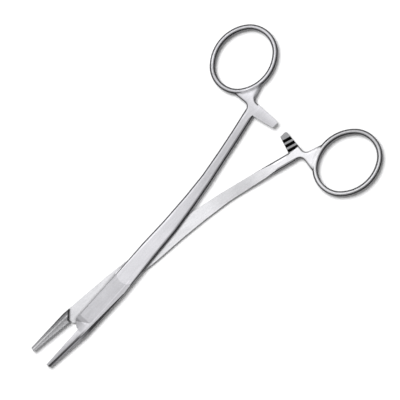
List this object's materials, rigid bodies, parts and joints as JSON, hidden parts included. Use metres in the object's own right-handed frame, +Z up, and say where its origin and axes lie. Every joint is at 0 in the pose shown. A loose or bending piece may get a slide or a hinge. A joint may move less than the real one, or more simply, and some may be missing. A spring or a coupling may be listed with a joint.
{
  "type": "needle holder scissors",
  "caption": "Ring-handled surgical needle holder with a lapped, riveted joint, short tapered jaws and a toothed ratchet between the finger rings.",
  "frame": {"origin": "on the rivet's axis, in the plane of the underside of the joint and rings", "axes": "+X along the bisector of the two halves towards the jaw tips, +Z up along the rivet out of the front half, +Y towards the rear half's finger ring"},
  "size_m": [0.1578, 0.0835, 0.0042],
  "materials": {
    "satin_steel": "satin, glass-bead blasted",
    "rivet_steel": "ground flush, satin"
  },
  "bodies": {
    "front_body": {"front_half": "satin_steel", "joint_rivet": "rivet_steel"},
    "rear_body": {"rear_half": "satin_steel"}
  },
  "joints": [
    {"name": "jaw_hinge", "type": "hinge", "parent": "front_body", "child": "rear_body", "pos_m": [0, 0, 0.0021], "axis": [0, 0, -1], "range_deg": [-8.3, 40]}
  ]
}
